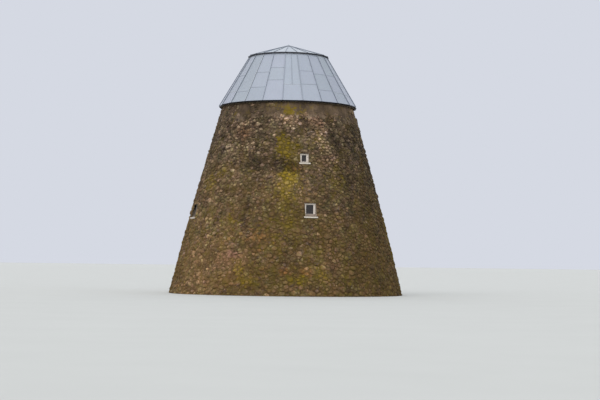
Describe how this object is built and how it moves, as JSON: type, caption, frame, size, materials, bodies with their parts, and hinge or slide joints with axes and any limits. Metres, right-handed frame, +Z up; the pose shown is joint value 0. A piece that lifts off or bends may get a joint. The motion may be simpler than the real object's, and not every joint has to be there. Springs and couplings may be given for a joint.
{
  "type": "round fieldstone windmill tower without sails",
  "caption": "Round battered rubble-stone mill tower with small deep-set windows under a many-sided standing-seam sheet metal roof; hollow, with floors and a back doorway.",
  "frame": {"origin": "centre of the tower's foot, on the ground", "axes": "+Z up along the tower's axis, -Y towards the face with one window above the other"},
  "size_m": [13.3, 13.3, 14.392],
  "materials": {
    "rubble_masonry": "matte",
    "cement_render": "matte",
    "floor_slab": "matte",
    "dressed_stone": "matte",
    "white_sill": "matte",
    "white_frame": "matte",
    "window_glass": "gloss",
    "structural_timber": "matte",
    "roof_boarding": "matte",
    "door_boards": "matte",
    "galvanised_sheet": "satin"
  },
  "bodies": {
    "root": {"back_lower_window_frame": "white_frame", "back_upper_window_frame": "white_frame", "cap_boarding": "roof_boarding", "cap_boss": "structural_timber", "cap_fascia": "structural_timber", "cap_rafters": "structural_timber", "cap_seams": "galvanised_sheet", "cap_sheets": "galvanised_sheet", "door_frame": "door_boards", "door_leaf_left": "door_boards", "door_leaf_right": "door_boards", "door_lintel": "dressed_stone", "door_threshold": "dressed_stone", "eave_fascia": "structural_timber", "finial_cap": "galvanised_sheet", "first_floor_boards": "roof_boarding", "first_floor_joists": "structural_timber", "first_wall_back": "rubble_masonry", "first_wall_front": "rubble_masonry", "first_wall_left": "rubble_masonry", "first_wall_right": "rubble_masonry", "front_lower_window_frame": "white_frame", "front_upper_window_frame": "white_frame", "ground_floor_slab": "floor_slab", "ground_wall_back": "rubble_masonry", "ground_wall_front": "rubble_masonry", "ground_wall_left": "rubble_masonry", "ground_wall_right": "rubble_masonry", "knee_ring": "structural_timber", "left_lower_window_frame": "white_frame", "lower_window_panes": "window_glass", "lower_window_sills": "white_sill", "right_lower_window_frame": "white_frame", "second_floor_boards": "roof_boarding", "second_floor_joists": "structural_timber", "second_wall_back": "rubble_masonry", "second_wall_front": "rubble_masonry", "second_wall_left": "rubble_masonry", "second_wall_right": "rubble_masonry", "skirt_boarding": "roof_boarding", "skirt_rafters": "structural_timber", "skirt_seams": "galvanised_sheet", "skirt_sheets": "galvanised_sheet", "upper_window_panes": "window_glass", "upper_window_sills": "white_sill", "wall_head_ring": "cement_render", "wall_plate": "structural_timber"}
  },
  "joints": []
}
